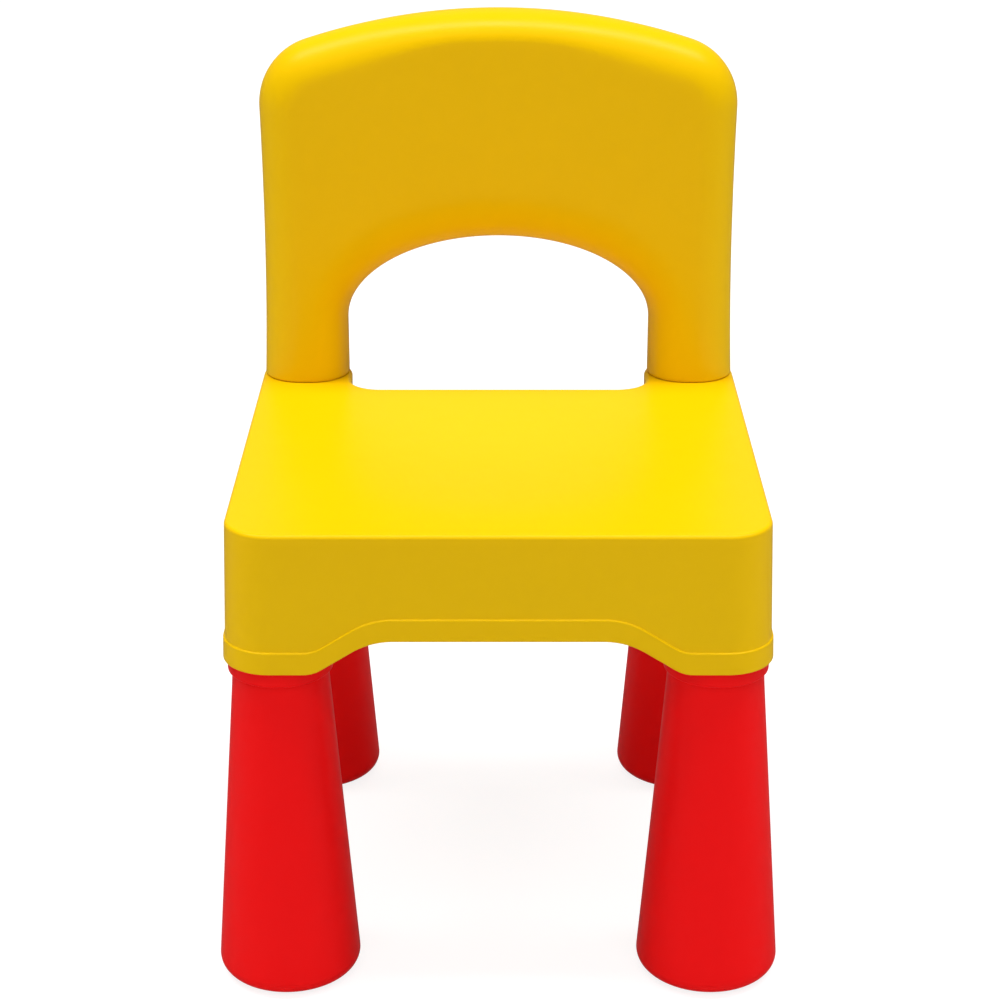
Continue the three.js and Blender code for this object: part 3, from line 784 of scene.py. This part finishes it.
def build_panel(bm):
    """The rear panel: a plate with softened edges and a locating rim inside the recess."""
    rim_outside = -PANEL_LEDGE - GAP
    rim_inside = rim_outside - 2.2 * MM
    soft = 0.9 * MM
    rings = [
        panel_ring(bm, -soft, PANEL_REAR),
        panel_ring(bm, -0.45 * MM, PANEL_REAR - 0.12 * MM),
        panel_ring(bm, -0.12 * MM, PANEL_REAR - 0.45 * MM),
        panel_ring(bm, 0, PANEL_REAR - soft),
        panel_ring(bm, 0, PLATE_FRONT),
        panel_ring(bm, rim_outside, PLATE_FRONT),
        panel_ring(bm, rim_outside, PANEL_FRONT),
        panel_ring(bm, rim_inside, PANEL_FRONT),
        panel_ring(bm, rim_inside, PLATE_FRONT),
    ]
    skin(bm, rings)
    fill(bm, [rings[0]], (0, 2), upright(PANEL_REAR))
    fill(bm, [rings[-1]], (0, 2))


def build_tenon(bm, side):
    """A hollow elliptical tenon under one post."""
    soft = 0.8 * MM
    top = POST_FOOT + 2 * MM
    levels = [
        (-TENON_WALL, top), (-TENON_WALL, TENON_BOTTOM + soft), (-TENON_WALL + soft, TENON_BOTTOM),
        (-soft, TENON_BOTTOM), (0, TENON_BOTTOM + soft), (0, top),
    ]
    rings = [
        ellipse_ring(bm, side * POST_X, TENON_HALF_X + grow, TENON_HALF_Y + grow, height)
        for grow, height in levels
    ]
    skin(bm, rings)
    bm.faces.new(rings[0])
    bm.faces.new(rings[-1])


# ---------------------------------------------------------------- legs
def build_leg(bm, centre):
    """A hollow leg: recess for its pad, rounded foot, tapered shank, collar, plug and lugs."""
    soft = 0.7 * MM
    plug_inside = PLUG_RADIUS - LEG_WALL
    recess = PAD_RADIUS + GAP
    recess_top = PAD_THICKNESS + GAP
    mouth = PAD_BOSS_RADIUS + GAP
    profile = [
        (HUB, PLUG_TOP - LEG_WALL),
        (plug_inside, PLUG_TOP - LEG_WALL),
        (plug_inside, COLLAR_UNDERSIDE),
        (NECK_RADIUS - LEG_WALL, NECK_TOP - LEG_WALL),
        (FOOT_RADIUS - 1.5 * LEG_WALL, 2 * FOOT_ROUND),
        (mouth + LEG_WALL, recess_top + LEG_WALL),
        (mouth, recess_top + LEG_WALL),
        (mouth, recess_top),
        (recess, recess_top),
        (recess, LEG_BOTTOM),
        *quarter(
            FOOT_RADIUS - FOOT_ROUND, LEG_BOTTOM + FOOT_ROUND, FOOT_ROUND, -90, FOOT_TANGENT, 12
        ),
    ]
    foot_radius, foot_top = profile[-1]
    for i in range(1, SHANK_STEPS):
        share = i / SHANK_STEPS
        profile.append((
            foot_radius + (NECK_RADIUS - foot_radius) * share,
            foot_top + (NECK_TOP - foot_top) * share,
        ))
    cove = (NECK_RADIUS + COLLAR_COVE, COLLAR_UNDERSIDE - COLLAR_COVE)
    collar_foot = (COLLAR_RADIUS - COLLAR_ROUND, COLLAR_UNDERSIDE + COLLAR_ROUND)
    profile += quarter(*cove, COLLAR_COVE, 180, 100, 5)
    profile += quarter(*collar_foot, COLLAR_ROUND, -80, 0, 7)
    profile += quarter(COLLAR_RADIUS - soft, COLLAR_TOP - soft, soft, 0, 90, 5)
    profile += [
        (PLUG_RADIUS, COLLAR_TOP),
        (PLUG_RADIUS, PLUG_TOP - PLUG_CHAMFER),
        (PLUG_RADIUS - PLUG_CHAMFER, PLUG_TOP),
        (HUB, PLUG_TOP),
    ]
    turned(bm, profile, centre)
    for i in range(LUG_COUNT):
        build_lug(bm, centre, TAU * i / LUG_COUNT)


def build_lug(bm, centre, middle, steps=8):
    """One bayonet lug on the plug, at the angle middle."""
    rows = []
    inner, outer = PLUG_RADIUS - MM, PLUG_RADIUS + LUG_REACH
    section = [(inner, LUG_BOTTOM), (outer, LUG_BOTTOM), (outer, LUG_TOP), (inner, LUG_TOP)]
    for i in range(steps + 1):
        angle = middle + LUG_HALF_ANGLE * (2 * i / steps - 1)
        rows.append([
            bm.verts.new((centre[0] + r * math.cos(angle), centre[1] + r * math.sin(angle), z))
            for r, z in section
        ])
    skin(bm, rows)
    bm.faces.new(rows[0])
    bm.faces.new(rows[-1])


def build_pad(bm, centre):
    """A rubber pad with concentric grip rings underneath and a ring that plugs into the leg."""
    profile = [(HUB, 0.0), (GRIP_START, 0.0)]
    for ring in range(GRIP_RINGS):
        start = GRIP_START + GRIP_PITCH * ring
        profile += [
            (start + 0.4 * MM, GRIP_DEPTH), (start + 2 * MM, GRIP_DEPTH),
            (start + 2.4 * MM, 0.0), (start + GRIP_PITCH, 0.0),
        ]
    profile = profile[:-1] + quarter(PAD_RADIUS - PAD_ROUND, PAD_ROUND, PAD_ROUND, -90, 0, 4)
    inside_boss = PAD_BOSS_RADIUS - PAD_BOSS_WALL
    profile += [
        (PAD_RADIUS, PAD_THICKNESS),
        (PAD_BOSS_RADIUS, PAD_THICKNESS),
        (PAD_BOSS_RADIUS, PAD_BOSS_TOP),
        (inside_boss, PAD_BOSS_TOP),
        (inside_boss, PAD_THICKNESS),
        (HUB, PAD_THICKNESS),
    ]
    turned(bm, profile, centre)


# ---------------------------------------------------------------- the pieces
SEAT_LOOK = (YELLOW, "seat", "yellow_plastic")
BACK_LOOK = (YELLOW, "backrest", "yellow_plastic")

piece("seat_moulding", build_seat, (), *SEAT_LOOK, ["seat_shell"])
piece("seat_ribs", build_ribs, (), *SEAT_LOOK)
piece("backrest_moulding", build_backrest, (), *BACK_LOOK, ["backrest_shell"])
piece("backrest_panel", build_panel, (), *BACK_LOOK, ["backrest_rear_cover"])
for side_name, side in (("left", 1), ("right", -1)):
    piece(f"seat_sleeve_{side_name}", build_sleeve, (side,), *SEAT_LOOK)
    piece(f"backrest_tenon_{side_name}", build_tenon, (side,), *BACK_LOOK)
    for row_name, row in (("front", -1), ("rear", 1)):
        place = f"{row_name}_{side_name}"
        body = f"{place}_leg"
        centre = (side * LEG_X, row * LEG_Y)
        piece(f"seat_socket_{place}", build_socket, (centre, row > 0), *SEAT_LOOK)
        piece(f"leg_{place}_moulding", build_leg, (centre,), RED, body, "red_plastic", [f"leg_{place}"])
        piece(f"foot_pad_{place}_rubber", build_pad, (centre,), RUBBER, body, "foot_rubber",
              [f"foot_pad_{place}"])


# ---------------------------------------------------------------- floor, light and camera
FLOOR_HALF_WIDTH = 15
SEAT_MIDDLE = (0, 0, 0.2)
LEGS_MIDDLE = (0, 0, 0.15)
CAMERA_PLACE = (0, -1.14415, 0.65563)
CAMERA_PITCH = math.radians(21.6)    # downwards
CAMERA_LENS = 88.4
CAMERA_SHIFT = (0.0017, 0.001)


def make_floor(name, drop, grey, glow, seen):
    """A wide floor. One that is seen lights nothing; the other only bounces light upwards."""
    mesh = bpy.data.meshes.new(name)
    bm = bmesh.new()
    bmesh.ops.create_grid(bm, x_segments=1, y_segments=1, size=FLOOR_HALF_WIDTH)
    bm.to_mesh(mesh)
    bm.free()
    floor = bpy.data.objects.new(name, mesh)
    floor.location.z = -drop
    floor.visible_camera = seen
    floor.visible_diffuse = not seen
    floor.visible_glossy = False
    floor.visible_shadow = False
    bpy.context.scene.collection.objects.link(floor)
    material = bpy.data.materials.new(name)
    material.use_nodes = True
    shader = material.node_tree.nodes["Principled BSDF"]
    shader.inputs["Base Color"].default_value = (grey, grey, grey, 1)
    shader.inputs["Roughness"].default_value = 0.9
    shader.inputs["Specular IOR Level"].default_value = 0
    shader.inputs["Emission Color"].default_value = (1, 1, 1, 1)
    shader.inputs["Emission Strength"].default_value = glow
    mesh.materials.append(material)


def make_world(strength, shown):
    """An even dim light all round, shown as a pale studio wall above the floor."""
    world = bpy.data.worlds.new("studio")
    world.use_nodes = True
    nodes, links = world.node_tree.nodes, world.node_tree.links
    background = nodes["Background"]
    background.inputs["Color"].default_value = (1, 1, 1, 1)
    path = nodes.new("ShaderNodeLightPath")
    pick = nodes.new("ShaderNodeMapRange")
    pick.inputs["To Min"].default_value = strength
    pick.inputs["To Max"].default_value = shown
    links.new(path.outputs["Is Camera Ray"], pick.inputs["Value"])
    links.new(pick.outputs["Result"], background.inputs["Strength"])
    bpy.context.scene.world = world


def aim(obj, place, target):
    """Puts a light at place, shining towards target."""
    obj.location = place
    obj.rotation_mode = "QUATERNION"
    obj.rotation_quaternion = (Vector(target) - Vector(place)).to_track_quat("-Z", "Y")


def make_panel_light(name, place, target, size, power, shines):
    """A soft panel. One that doesn't shine lights the object but leaves no highlight on it."""
    light = bpy.data.lights.new(name, "AREA")
    light.shape = "RECTANGLE"
    light.size, light.size_y = size
    light.energy = power
    obj = bpy.data.objects.new(name, light)
    obj.visible_glossy = shines
    bpy.context.scene.collection.objects.link(obj)
    aim(obj, place, target)


def make_camera():
    """The camera at the photo's viewing angle."""
    data = bpy.data.cameras.new("camera")
    data.sensor_width = 36
    data.lens = CAMERA_LENS
    data.shift_x, data.shift_y = CAMERA_SHIFT
    data.clip_end = 100
    camera = bpy.data.objects.new("camera", data)
    camera.location = CAMERA_PLACE
    camera.rotation_euler = (QUARTER_TURN - CAMERA_PITCH, 0, 0)
    bpy.context.scene.collection.objects.link(camera)
    bpy.context.scene.camera = camera


make_floor("pale_floor", drop=0.1 * MM, grey=0.25, glow=0.86, seen=True)
make_floor("bounce_floor", drop=0.3 * MM, grey=0.62, glow=0, seen=False)
make_world(strength=0.17, shown=0.86)
make_panel_light("overhead_softbox", (0, 0, 4), (0, 0, 0), size=(6, 1.0), power=212, shines=True)
make_panel_light("front_softbox", (0, -1.7, 2.6), SEAT_MIDDLE, size=(2.4, 1.0), power=28, shines=False)
make_panel_light("low_fill", (0, -2.6, 0.35), LEGS_MIDDLE, size=(2.4, 0.5), power=6, shines=False)
make_panel_light("left_strip", (2.3, -0.3, 0.35), LEGS_MIDDLE, size=(1.6, 0.6), power=4.5, shines=False)
make_panel_light("right_strip", (-2.3, -0.3, 0.35), LEGS_MIDDLE, size=(1.6, 0.6), power=4.5, shines=False)
make_panel_light("rear_softbox", (0, 2.4, 1.3), SEAT_MIDDLE, size=(2.4, 1.0), power=14, shines=False)
make_camera()
view = bpy.context.scene.view_settings
view.view_transform = "Standard"
view.look = "None"
view.exposure = 0
view.gamma = 1
